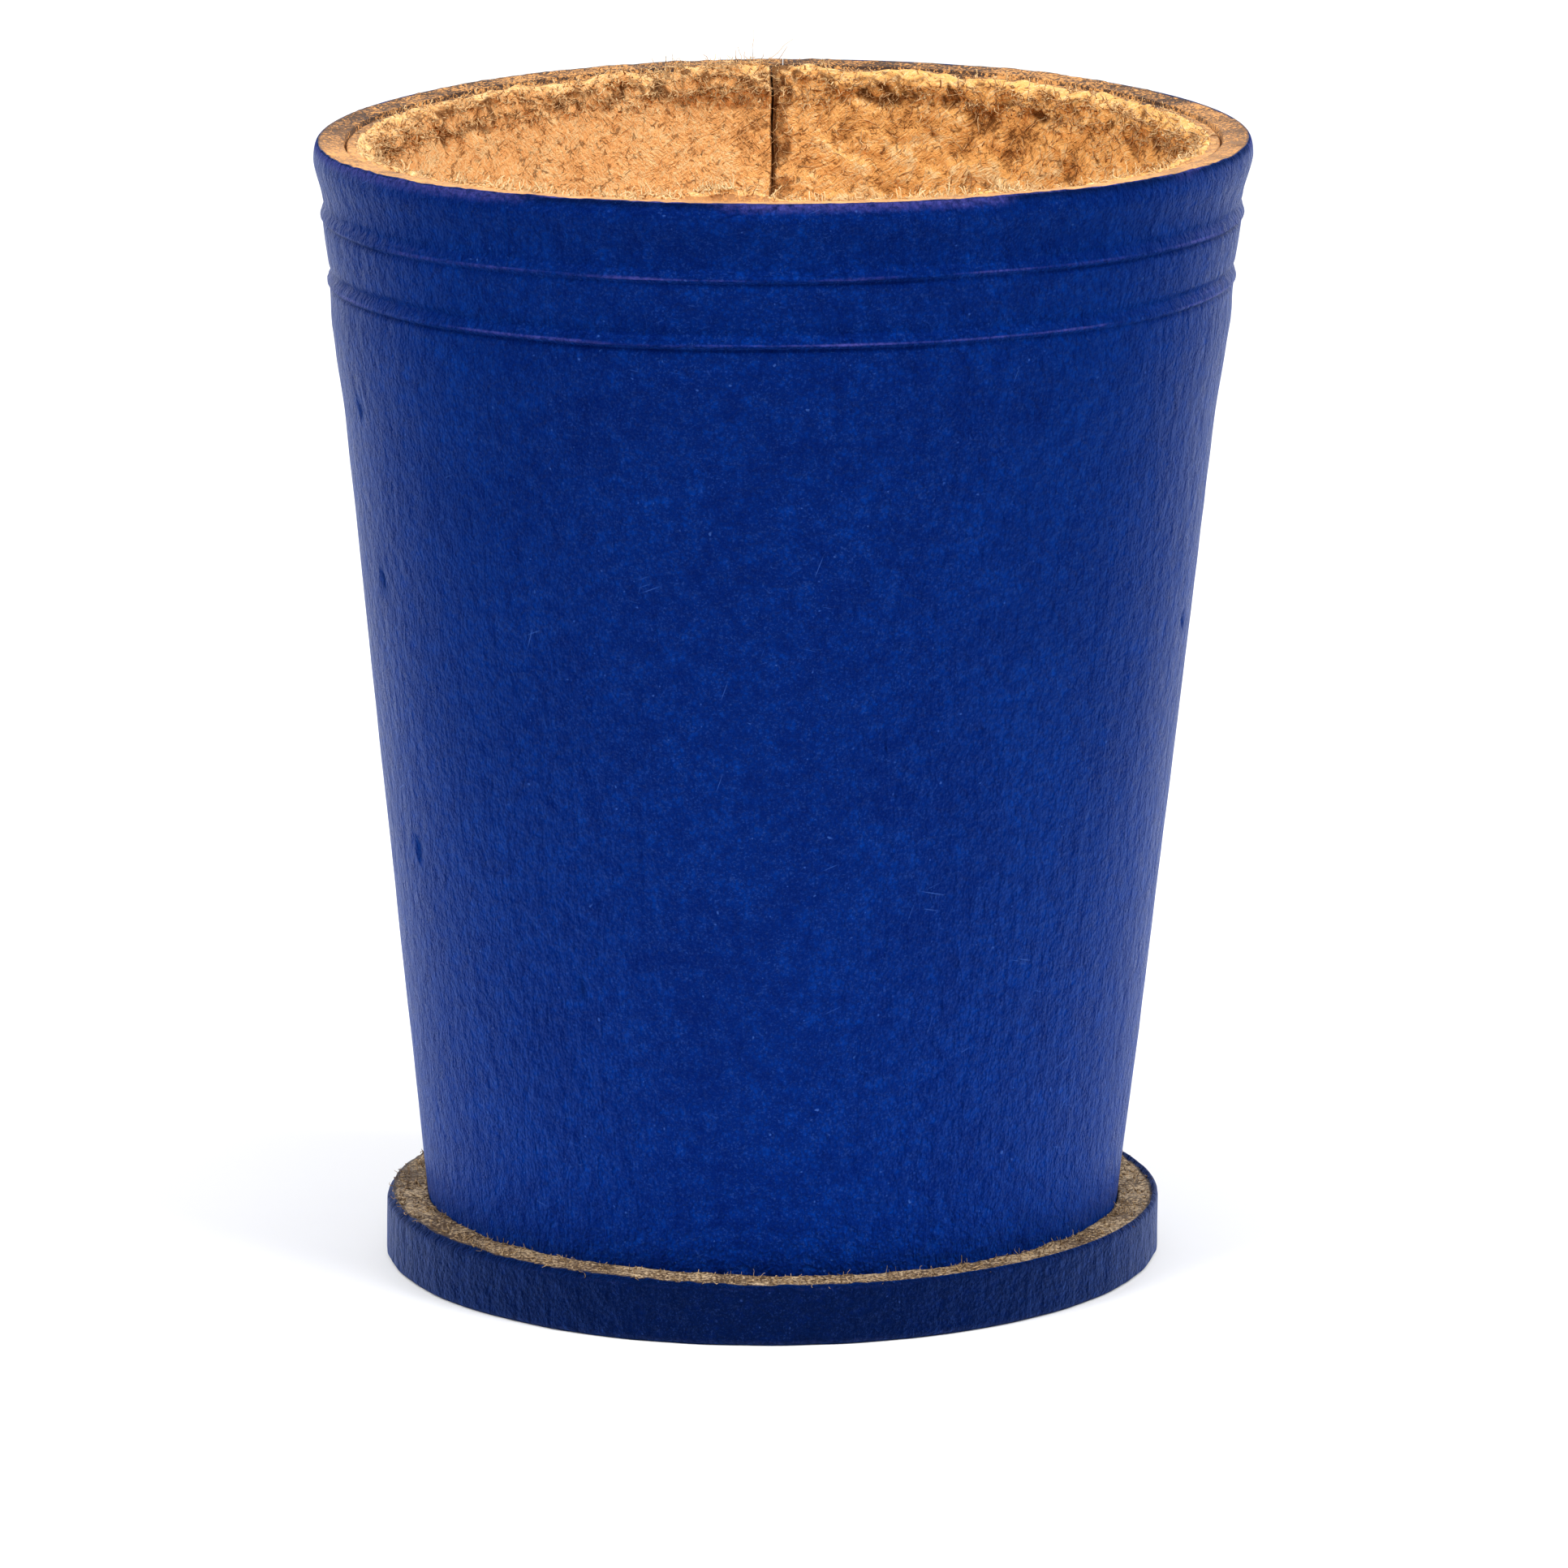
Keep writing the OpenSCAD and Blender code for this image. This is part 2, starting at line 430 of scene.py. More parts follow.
def suede(name, dark, smooth, shaggy, light, shade):
    """Split leather's fuzzy flesh side: matted fibre, painted shade in its dents and gaps, and pale
    nap with painted light on its tufts and painted shade between them.
    """
    s = Shader(name)
    raised = s.attribute("raised")
    hollow_shade = s.attribute("hollow_shade")
    nap = s.attribute("nap")
    skin = s.warped(s.attribute("skin", "Vector"), 3.0, 1.8, unit=1)
    thin = dict(detail=3, roughness=0.65, vector=skin, unit=1)
    combed = s.noise(0.2, stretch=(6, 1, 1), turn=0.6, **thin)
    crossing = s.noise(0.22, stretch=(4, 1, 1), turn=-0.8, **thin)
    steep = s.noise(0.22, stretch=(4, 1, 1), turn=1.8, **thin)
    over = s.math("MAXIMUM", combed, s.total((1, s.math("MAXIMUM", crossing, steep)), (-0.07, nap)))
    under = s.math("MINIMUM", combed, crossing)
    clump = s.noise(0.8, detail=4, roughness=0.7, distortion=0.6)
    cloud = s.noise(4.5, detail=3, roughness=0.6)
    # The tone paints light on the nap's tufts and shade between them, besides the suede's own
    # clumps and clouds
    tone = s.total((0.4, clump), (0.35, cloud), (0.5, raised), (0.02, nap))
    mid = s.mix(nap, smooth, shaggy)
    colour = s.mix(s.fade(tone, 0.12, 0.4, 0.25, 1), dark, mid)
    lit = s.total((1, over), (0.55, tone))
    bright = s.math("ADD", s.fade(lit, 0.75, 0.85, 0, 0.65), s.fade(tone, 0.42, 0.62, 0, 0.3))
    colour = s.mix(bright, colour, light)
    broken = s.warped(skin, 0.5, 0.6, unit=1)
    crack = s.fade(s.cells(0.9, feature="DISTANCE_TO_EDGE", vector=broken, unit=1), 0.11, 0.03)
    crack = s.product(crack, s.fade(s.noise(0.9, detail=2), 0.52, 0.64, 0, 0.6))
    # Painted shade in the gaps between fibres and in the cracks
    sunk = s.total((1, under), (0.6, tone))
    gaps = s.math("MAXIMUM", s.fade(sunk, 0.62, 0.52, 0, 0.68), crack)
    colour = s.mix(gaps, colour, shade)
    # Painted shade in the lining's dents and pits, under its fringe, along its joint and in the
    # joint's gap
    ragged = s.math("ADD", hollow_shade, s.total((0.6, s.noise(0.5, detail=3)), (1, -0.3)))
    colour = s.mix(s.product(s.fade(ragged, 0.25, 0.9), 0.85), colour, shade)
    relief = s.total((0.25, over), (0.2, under), (0.3, clump), (-0.08, crack))
    return s.finish(colour, s.fade(over, 0.3, 0.7, 0.95, 0.8), relief, Specular_IOR_Level=0.2)


def loose_fibre(name, dark, light):
    """Single leather fibres, each with its own tone."""
    s = Shader(name)
    tone = s.attribute("tone")
    along = s.noise(0.4, detail=2)
    colour = s.mix(s.total((0.75, tone), (0.25, along)), dark, light)
    return s.finish(
        colour, s.fade(along, 0.3, 0.7, 0.6, 0.85), s.total((0.02, along)),
        Specular_IOR_Level=0.2,
    )


def waxed_thread(name, dark, light):
    """Twisted, waxed sewing thread."""
    s = Shader(name)
    lay = s.noise(0.12, detail=3, roughness=0.6)
    worn = s.noise(1.5, detail=2)
    colour = s.mix(s.fade(s.total((0.6, lay), (0.4, worn)), 0.35, 0.7), dark, light)
    return s.finish(
        colour, s.fade(worn, 0.3, 0.7, 0.45, 0.65), s.total((0.05, lay)),
        Sheen_Weight=0.15, Sheen_Roughness=0.4,
    )


def plain_leather(name, dark, light):
    """Undyed leather with a matt, slightly stained surface."""
    s = Shader(name)
    cloud = s.noise(12, detail=5, roughness=0.6)
    grain = s.cells(0.7)
    fine = s.noise(0.35, detail=4, roughness=0.65)
    colour = s.mix(s.fade(s.total((0.6, cloud), (0.4, fine)), 0.35, 0.68), dark, light)
    scuff = s.fade(s.noise(1, detail=4, stretch=(14, 0.8, 1)), 0.62, 0.72)
    colour = s.mix(s.product(scuff, 0.5), colour, dark)
    return s.finish(
        colour, s.fade(fine, 0.3, 0.7, 0.6, 0.85), s.total((-0.06, grain), (0.08, fine)),
        Sheen_Weight=0.05,
    )


BLUE_TINT = (0.02, 0.22, 1.0)
SHADED_NAVY_DARK = (0.0006, 0.004, 0.030)
BAND_RAW_LIGHT = (0.56, 0.42, 0.26)

leather = dyed_leather(
    "blue_leather", dark=(0.0006, 0.014, 0.135), light=(0.0016, 0.062, 0.37),
    fleck_and_glint=(0.07, 0.16, 0.48), worn_and_highlight_tone=(0.12, 0.11, 0.40), tint=BLUE_TINT,
)
# The band's leather is the blue leather made darker: painted shade
shaded_navy = dyed_leather(
    "navy_leather", dark=SHADED_NAVY_DARK, light=(0.001, 0.010, 0.085),
    fleck_and_glint=(0.04, 0.08, 0.25), worn_and_highlight_tone=(0.07, 0.08, 0.22), tint=BLUE_TINT,
)
raw_edge = cut_edge(
    "cut_edge", dark=(0.045, 0.016, 0.005), light=(0.70, 0.34, 0.11),
    front_sheen=(0.92, 0.47, 0.18), dye=(0.035, 0.022, 0.04),
)
band_edge = cut_edge(
    "band_cut_edge", dark=(0.10, 0.06, 0.03), light=BAND_RAW_LIGHT,
    front_sheen=BAND_RAW_LIGHT, dye=SHADED_NAVY_DARK,
)
lining = suede(
    "suede", dark=(0.42, 0.19, 0.06), smooth=(0.98, 0.53, 0.22), shaggy=(1.0, 0.54, 0.19),
    light=(1.0, 0.76, 0.43), shade=(0.11, 0.035, 0.009),
)
fibre_look = loose_fibre("suede_fibre", (0.30, 0.11, 0.025), (1.0, 0.78, 0.46))
band_fibre_look = loose_fibre("band_fibre", (0.10, 0.055, 0.03), (0.66, 0.47, 0.27))
thread_look = waxed_thread("navy_thread", (0.004, 0.008, 0.03), (0.02, 0.04, 0.12))
sole_look = plain_leather("sole_leather", (0.30, 0.15, 0.06), (0.58, 0.36, 0.18))
board_look = plain_leather("leather_board", (0.17, 0.09, 0.045), (0.30, 0.17, 0.09))


# ---------------- outer shell

# Half the width of the closing joint
SHELL_GAP = 0.03
# The lip: how far below the top it is widest, how far its rounding reaches in over the top, and
# how much the cut edge drops towards the inside
LIP_WIDEST = 1.45
LIP_IN = 0.4
EDGE_SLOPE = 0.2
# Heights of the two creases, and from a crease's groove down to its line
CREASES = (CUP_H - 5.4, CUP_H - 11.0)
CREASE_SPACING = 1.15
# The back seam: from its middle to a row of holes, between stitches, and up to the first one,
# along the wall
ROW_X = 2.5
STITCH_PITCH = 5.5
FIRST_STITCH = 8.5


def stitch_heights():
    """Heights of the stitches up the wall."""
    last = CREASES[0] - 1.2
    return np.arange(FIRST_STITCH, last / math.cos(TILT), STITCH_PITCH) * math.cos(TILT)


def crease_relief(angle, z):
    """How far the pressed lines under the rim move the wall, and where they get a painted
    highlight, which is partly worn dye.
    """
    around = round_points(TOP_R, 0, angle)
    at_side = 0.25 + 0.75 * np.abs(np.sin(angle)) ** 1.5
    relief, wear_and_highlight = 0, 0
    for number, height in enumerate(CREASES):
        press = 1 + 0.35 * smooth_noise(around, 9, 20 + number)
        upper = height + 0.14 * smooth_noise(around, 14, 10 + number)
        lower = upper - CREASE_SPACING
        notch = (-0.13, -0.22)[number] * bell(z, upper, 0.36) * at_side
        ledge = 0.19 * smoothstep(z, upper - 0.08, upper - 0.6)
        ledge *= smoothstep(z, upper - 7.5, upper - 2)
        if number == 1:
            belly = smoothstep(z, upper - 2, upper - 5) * smoothstep(z, upper - 13, upper - 7)
            ledge += 0.24 * belly
        line = 0.16 * bell(z, lower + 0.16, 0.18) - 0.17 * bell(z, lower - 0.18, 0.19)
        relief = relief + press * (notch + line) + ledge * (0.4 + 0.6 * at_side)
        # Painted highlight along each line, the upper one mostly at the sides; partly worn dye
        wear_and_highlight += 0.7 * bell(z, upper - 0.4, 0.16) * at_side
        wear_and_highlight += 1.05 * bell(z, lower + 0.24, 0.15)
    return relief, wear_and_highlight


def leather_relief(angle, z):
    """Waviness and wrinkles of the dyed face, in mm outwards."""
    where = round_points(TOP_R, z, angle)
    field = partial(smooth_noise, where)
    lines = 0.02 * smooth_noise(where * [1, 1, 0.3], 1.5, 3) * (1 + field(18, 4))
    return 0.09 * field(26, 1) + 0.05 * field(9, 2) + lines + 0.015 * field(2.2, 5)


def stitch_relief(angle, z, radius):
    """Leather pulled in round the stitches and rounded at the closing seam."""
    across = radius * np.sin(angle)
    behind = np.cos(angle) > 0
    pull = 0
    for height in stitch_heights():
        holes = sum(bell(across, side * ROW_X, 0.55) for side in (-1, 1))
        channel = smoothstep(np.abs(across), ROW_X + 0.2, ROW_X - 0.3)
        pull -= 0.22 * np.minimum(holes + 0.5 * channel, 1.2) * bell(z, height, 0.55)
    edge = -0.35 * smoothstep(np.abs(across), 1.1, 0.1) ** 2
    return np.where(behind, pull + edge, 0)


# Small dark nicks in the outer leather: angle in degrees, height, half width, half height
SHELL_DENTS = (
    (-108.7, 76.7, 0.5, 0.5),
    (-111.5, 61.5, 0.9, 0.35),
    (-110.9, 62.3, 0.3, 0.5),
    (-114.8, 38.7, 0.4, 0.7),
    (-150, 30.0, 0.3, 0.5),
    (104, 57.0, 0.5, 0.4),
    (62, 40.0, 0.4, 0.7),
)


def shell_dents(angle, z):
    """How deep the nicks are, from 0 to about 1."""
    made = 0
    for degrees, height, half_width, half_height in SHELL_DENTS:
        turn = angle - math.radians(degrees % 360)
        made += bell(turn * wall_r(height), 0, half_width) * bell(z, height, half_height)
    return made


def lip_highlight(angle):
    """Where round the rim the lip's rounded corner gets a painted dull purple highlight."""
    return smoothstep(smooth_noise(round_points(TOP_R, 0, angle), 13, 13), -0.35, 0.3)


def burnt_holes(angle, z, radius):
    """Darkening round the stitch holes."""
    across = np.abs(radius * np.sin(angle))
    holes = sum(bell(z, height, 0.32) for height in stitch_heights())
    return 0.8 * np.where(np.cos(angle) > 0, holes * bell(across, ROW_X + 0.1, 0.35), 0)


def outer_shell():
    face_z = steps((0, 84, 0.95), (84, 93.2, 0.18), (93.2, CUP_H - LIP_WIDEST, 0.3))
    lip_turn = np.linspace(0, math.pi / 2, 9)[1:]
    edge_share = np.linspace(0, 1, 12)[1:]
    inner_z = np.array([94, 88, 76, 58, 36, 16, 4, 0.0])
    under_share = np.array([0.3, 0.7])

    lip = LIP_PROUD + 0.13
    lip_r = wall_r(CUP_H - LIP_WIDEST) + lip
    edge_out = lip_r - LIP_IN
    edge_in = wall_r(CUP_H) - SHELL_T
    radius = np.concatenate([
        wall_r(face_z) + lip * smoothstep(face_z, 93.3, CUP_H - LIP_WIDEST),
        edge_out + LIP_IN * np.cos(lip_turn),
        edge_out + (edge_in - edge_out) * edge_share,
        wall_r(inner_z) - SHELL_T,
        wall_r(0) - SHELL_T * (1 - under_share),
    ])
    height = np.concatenate([
        face_z, CUP_H - LIP_WIDEST * (1 - np.sin(lip_turn)), CUP_H - EDGE_SLOPE * edge_share,
        inner_z, 0 * under_share,
    ])
    first_raw = len(face_z) + len(lip_turn) - 1
    edge_rows = slice(first_raw, first_raw + 1 + len(edge_share))
    outside = np.arange(len(radius)) <= first_raw

    share = seam_fractions(FULL_TURN * TOP_R, near=5.5, near_step=0.2, far_step=0.5)
    angle, z, r = ring_grid(radius, height, share, SHELL_GAP)

    creases, wear_and_highlight = crease_relief(angle, z)
    dents = shell_dents(angle, z)
    lift = creases + leather_relief(angle, z) + stitch_relief(angle, z, r) - 0.35 * dents
    fade_out = np.where(outside, smoothstep(height, CUP_H + 0.2, CUP_H - 2), 0)[:, None]
    r = r + np.where(outside[:, None], lift, 0) * np.maximum(fade_out, 0.25 * outside[:, None])

    field = partial(smooth_noise, round_points(r, z, angle))
    z[edge_rows] += (0.05 * field(0.5, 6) + 0.06 * field(1.6, 7))[edge_rows]
    z[edge_rows] += 0.08 * field(11, 8)[edge_rows]

    depth = np.full(z.shape, DEEP)
    depth[edge_rows] = (edge_out - radius)[edge_rows, None]
    wear_and_highlight *= 0.75 + 0.5 * field(6, 9)
    # Painted highlight on the lip's rounded corner, in patches round the rim
    wear_and_highlight += 0.8 * smoothstep(z, CUP_H - 1.6, CUP_H - 0.2) * outside[:, None] * lip_highlight(angle)
    burnt = bell(z, CUP_H, 0.45) + 0.8 * bell(z, 0.2, 0.5)
    from_seam = np.minimum(share, 1 - share) * FULL_TURN * TOP_R
    burnt = burnt + 0.9 * bell(from_seam, 0, 0.22) + burnt_holes(angle, z, r) + 0.9 * dents
    # Painted sheen on the cut edge, lighter towards the front
    front_sheen = smoothstep(np.cos(angle), 0.35, -0.7) * (0.6 + 0.4 * field(1.2, 12))
    piece = ring_piece(
        "shell", hand_shape(round_points(r, z, angle)), [leather, raw_edge],
        np.arange(first_raw, len(radius)), True,
        layers={
            "skin": np.stack([angle * TOP_R, z, 0 * z], -1),
            "wear_and_highlight": np.where(outside[:, None] & (z < CUP_H - 0.05), wear_and_highlight, front_sheen),
            "burnt": np.clip(burnt, 0, 1),
            "depth": depth,
        },
    )
    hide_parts("outer_shell")


# ---------------- liner

# The closing joint's distance from the shell's seam, and half its width
LINER_SEAM = -0.95
LINER_GAP = 0.09
# Width of the shaded strip along the joint's right side
STRIP_WIDTH = 2.0
# Share of the top that is a flat cut edge, and the height where the inner face starts to round
FLAT_SHARE = 0.34
ROUND_FROM = 95.7
LINER_MID_R = wall_r(86) - SHELL_T - GLUE - LINER_T
# Direction in which the nap is combed
COMB_COS, COMB_SIN = math.cos(math.radians(35)), math.sin(math.radians(35))

# Dents in the lining: angle from the seam in degrees, height, half width, half height, depth
LINER_DENTS = (
    (-56, 94.1, 0.45, 1.5, 0.9),
    (-49, 92.0, 0.4, 0.6, 0.45),
    (-45, 96.2, 0.7, 0.5, 0.7),
    (-22, 96.4, 1.0, 0.4, 0.6),
    (-77, 94.0, 0.4, 0.6, 0.4),
    (33, 88.8, 1.1, 1.0, 0.5),
    (34.5, 90.3, 0.25, 1.2, 0.5),
    (42, 94.8, 0.9, 0.7, 0.9),
    (37, 95.6, 0.6, 0.4, 0.6),
    (27, 95.6, 0.9, 0.35, 0.5),
    (20, 91.5, 1.6, 0.25, 0.45),
    (24, 92.2, 0.6, 0.5, 0.4),
    (15, 95.2, 1.6, 0.3, 0.4),
    (12, 90.3, 0.9, 0.3, 0.35),
    (46, 91.0, 0.4, 1.4, 0.4),
    (52, 92.6, 1.2, 0.35, 0.4),
    (68, 94.3, 0.6, 1.2, 0.6),
    (66, 91.5, 0.35, 1.0, 0.4),
)


def tufts(u, v, length, width, seed):
    """Heights from 0 to 1 of overlapping tufts of nap combed along u, each with a ragged tip."""
    chance = np.random.default_rng(seed).uniform(0, 1, (LATTICE, LATTICE, 4))
    at_u, at_v = np.floor(u / length).astype(int), np.floor(v / width).astype(int)
    made = np.zeros(np.shape(u))
    for step_u, step_v in itertools.product((-1, 0, 1), repeat=2):
        cell = chance[(at_u + step_u) % LATTICE, (at_v + step_v) % LATTICE]
        along = u / length - (at_u + step_u + 0.1 + 0.8 * cell[..., 0])
        across = v / width - (at_v + step_v + 0.1 + 0.8 * cell[..., 1])
        aside = np.minimum(across**2, 1)
        tip = 0.4 + 0.4 * cell[..., 3] - 0.4 * aside
        height = 0.35 * cell[..., 2] + 0.65 * (along + 1) / (1 + tip) - 0.55 * aside
        made = np.maximum(made, height * smoothstep(along, tip + 0.1, tip - 0.05))
    return made


def panel_share(angle):
    """0 on the smooth panel left of the seam and 1 on the shaggy one right of it."""
    return 0.5 + 0.5 * np.tanh(5 * np.sin(angle))


def liner_relief(angle, z):
    """Relief of the lining's inner face in mm inwards, the painted light and shade on its nap, and
    the painted shade in its dents.
    """
    field = partial(smooth_noise, round_points(LINER_MID_R, z, angle))
    shaggy = panel_share(angle)
    signed = np.arctan2(np.sin(angle), np.cos(angle))
    # The nap is combed up and to the right, in wandering lines
    arc = signed * LINER_MID_R
    flow_u = arc * COMB_COS + z * COMB_SIN + 1.3 * field(4, 60)
    flow_v = z * COMB_COS - arc * COMB_SIN + 1.3 * field(4, 61)
    flakes = tufts(flow_u, flow_v, 4.4, 2.2, 31) - 0.5
    scales = tufts(flow_u + field(1.5, 62), flow_v, 1.9, 1.0, 40) - 0.5
    made = (0.10 + 0.2 * shaggy) * field(7, 32) + 0.7 * shaggy * flakes
    made += (0.08 + 0.22 * shaggy) * scales
    made += (0.03 + 0.03 * shaggy) * field(1.7, 33)
    made += 0.04 * field(0.8, 34)
    raised = (0.25 + 0.75 * shaggy) * (0.6 * flakes + 0.6 * scales)
    raised += shaggy * (0.13 * field(3.5, 63) - 0.12 * bell(z, 93, 2.2))
    hollow_shade = 0 * made
    ragged = 1 + 0.8 * field(1.1, 47)
    for degrees, height, half_width, half_height, depth in LINER_DENTS:
        along = (signed - math.radians(degrees)) * LINER_MID_R
        dent = depth * bell(along + 0.5 * field(1.8, 48), 0, half_width)
        dent = dent * bell(z + 0.4 * field(1.5, 49), height, half_height) * ragged
        made -= 0.8 * dent
        # Painted shade in the dent
        hollow_shade += 1.1 * dent
    return made, raised, hollow_shade


def liner_surface():
    """Points over the lining, with what its materials and fibres need."""
    inner_z = steps((ROUND_FROM, 82, 0.32), (82, 62, 0.6), (62, INSIDE_Z, 1.6))
    outer_z = np.array([INSIDE_Z, 30, 60, 80, 90, 95.0])
    turn = np.linspace(0, 1, 17)[1:-1]

    outer_r = wall_r(outer_z) - SHELL_T - GLUE
    inner_r = wall_r(inner_z) - SHELL_T - GLUE - LINER_T
    top_out = wall_r(LINER_TOP) - SHELL_T - GLUE
    # Over the top: a flat cut edge flush with the shell's, then rounded down into the cup
    turn_r = top_out + (inner_r[0] - top_out) * turn
    past_flat = np.clip((turn - FLAT_SHARE) / (1 - FLAT_SHARE), 0, 1)
    turn_z = ROUND_FROM + (CUP_H - 0.45 - ROUND_FROM) * np.sqrt(1 - past_flat**2.2)

    radius = np.concatenate([outer_r, [top_out], turn_r, inner_r])
    height = np.concatenate([outer_z, [CUP_H - 0.5], turn_z, inner_z])
    behind = np.zeros(len(outer_r) + 1)
    inside = np.concatenate([behind, smoothstep(turn, 0.25, 0.9), np.ones(len(inner_z))])
    on_top = np.concatenate([
        behind, smoothstep(turn, 0.7 * FLAT_SHARE, 1.4 * FLAT_SHARE),
        smoothstep(inner_z, 94.3, 95.6),
    ])
    along = np.concatenate([[0], np.cumsum(np.hypot(np.diff(radius), np.diff(height)))])
    share = seam_fractions(FULL_TURN * LINER_MID_R, near=4.5, near_step=0.15, far_step=0.35)
    angle, z, r = ring_grid(radius, height, share, LINER_GAP)

    relief, raised, hollow_shade = liner_relief(angle, z)
    field = partial(smooth_noise, round_points(r, z, angle))
    signed = np.arctan2(np.sin(angle), np.cos(angle))
    fringe = 0.34 * field(1.1, 35) + 0.34 * field(3.5, 36)
    fringe += 0.5 * bell(signed, math.radians(-9), math.radians(14))
    fringe += 0.8 * bell(np.mod(angle, FULL_TURN), math.radians(187), math.radians(9))
    across = np.minimum(share, 1 - share) * FULL_TURN * LINER_MID_R
    right = share < 0.5
    strip = smoothstep(across + 0.5 * field(1.3, 37), STRIP_WIDTH, 0.5 * STRIP_WIDTH) * right
    curled = bell(across, 0.35, 0.5) * ~right
    relief = relief - 0.3 * strip + 0.12 * curled
    # Painted shade along the strip right of the joint, and a painted dark line in the joint's gap
    shaded = strip * (0.36 + 0.26 * smoothstep(z, 84, 94)) * (1 + 0.6 * field(0.9, 56))
    hollow_shade = hollow_shade + shaded + 0.8 * bell(across, 0, 0.13 + 0.09 * right)
    # Painted shadow under the fringe
    below_fringe = bell(z, 95.0 + 0.5 * field(2.2, 50), 0.5) * smoothstep(field(2.6, 51), -0.2, 0.5)
    hollow_shade += 0.55 * below_fringe * inside[:, None]
    hem = on_top * inside
    # Painted shade in the gaps of the fuzzy hem
    hem_gap_shade = smoothstep(field(0.5, 52) + 0.5 * field(1.7, 55), -0.1, 0.5)
    hollow_shade += 0.75 * hem[:, None] * hem_gap_shade
    r = r - inside[:, None] * (relief - 0.2 * below_fringe) - 0.6 * hem[:, None] * field(1.0, 38)
    flat_top = (height > CUP_H - 0.6)[:, None]
    z = z + on_top[:, None] * fringe + 0.06 * flat_top * (field(0.6, 53) + field(9, 54))

    # The closing joint wanders a little, off to one side of the shell's seam
    wander = 0.16 * smooth_noise(np.stack([0 * height, 0 * height, height], -1), 2.5, 39)
    angle = angle + (LINER_SEAM + wander)[:, None] / radius[:, None] * np.cos(angle / 2) ** 2
    points = hand_shape(round_points(r, z, angle))
    skin_up = np.broadcast_to(along[:, None], z.shape)
    layers = {
        "raised": raised * (1 - on_top[:, None]),
        # Painted sheen on the cut top, lighter towards the front
        "wear_and_highlight": smoothstep(np.cos(angle), 0.6, -0.5) * (0.7 + 0.3 * field(1.2, 57)),
        "depth": np.full(z.shape, DEEP),
        "nap": panel_share(angle),
        "hollow_shade": np.clip(hollow_shade, 0, 1),
        "skin": np.stack([angle * LINER_MID_R, skin_up, 0 * z], -1),
    }
    flat_rows = np.nonzero(flat_top[:, 0] & (on_top < 0.5))[0]
    return points, layers, inside, on_top, flat_rows


def liner():
    grid, layers, inside, on_top, flat_rows = liner_surface()
    piece = ring_piece("lining", grid, [lining, raw_edge], flat_rows, False, layers)
    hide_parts("liner")
    return grid, layers["hollow_shade"], inside, on_top


# ---------------- tubes and fibres

FIBRE_POINTS = 5
FIBRE_SIDES = 3


def round_a_path(path, aside, sides):
    """Two directions square to a path at each of its points, and a ring of them all round."""
    along = unit(np.gradient(path, axis=-2))
    across = unit(np.cross(along, aside))
    over = np.cross(along, across)
    spin = FULL_TURN * np.arange(sides)[:, None] / sides
    return across, over, np.cos(spin) * across[..., None, :] + np.sin(spin) * over[..., None, :]


def tube_faces(tubes, rings, sides):
    """Faces of a number of closed tubes with the same count of rings."""
    first = rings * sides * np.arange(tubes)[:, None, None]
    walls = np.array(grid_faces(rings, sides, close_columns=True)) + first
    ends = np.stack([np.arange(sides)[::-1], np.arange(sides) + (rings - 1) * sides]) + first
    return walls.reshape(-1, 4).tolist() + ends.reshape(-1, sides).tolist()


def fibre_tubes(roots, headings, normals, lengths, radii, curl, rise, rng):
    """Points of thin curling fibres, one per root. rise is the angle off the surface."""
    count = len(roots)
    sides = unit(np.cross(normals, headings))
    turn = np.cumsum(rng.normal(0, curl, (count, FIBRE_POINTS)), 1)
    climb = rise[:, None] + np.cumsum(rng.normal(0, curl * 0.5, (count, FIBRE_POINTS)), 1)
    step = (lengths / (FIBRE_POINTS - 1))[:, None, None]
    move = step * (
        (np.cos(climb) * np.cos(turn))[..., None] * headings[:, None]
        + (np.cos(climb) * np.sin(turn))[..., None] * sides[:, None]
        + np.sin(climb)[..., None] * normals[:, None]
    )
    move[:, 0] = 0
    path = roots[:, None] + np.cumsum(move, 1)
    ring = round_a_path(path, normals[:, None] + 0.01, FIBRE_SIDES)[2]
    width = radii[:, None] * np.linspace(1, 0.45, FIBRE_POINTS)
    return path[:, :, None] + width[:, :, None, None] * ring


def add_fibres(name, groups, seed, look):
    """One piece of many fibres. groups are (places, length, radius, curl, rise, tone)."""
    rng = np.random.default_rng(seed)
    tubes, tones = [], []
    for (roots, headings, normals), length, radius, curl, rise, tone in groups:
        count = len(roots)
        lengths = length * rng.uniform(0.5, 1.5, count)
        radii = radius * rng.uniform(0.65, 1.35, count)
        rises = rng.uniform(*rise, count)
        tubes.append(fibre_tubes(roots, headings, normals, lengths, radii, curl, rises, rng))
        tones.append(np.repeat(rng.uniform(*tone, count), FIBRE_POINTS * FIBRE_SIDES))
    tubes = np.concatenate(tubes)
    piece = make_piece(
        name, tubes, tube_faces(len(tubes), FIBRE_POINTS, FIBRE_SIDES), [look],
        layers={"tone": np.concatenate(tones)},
    )


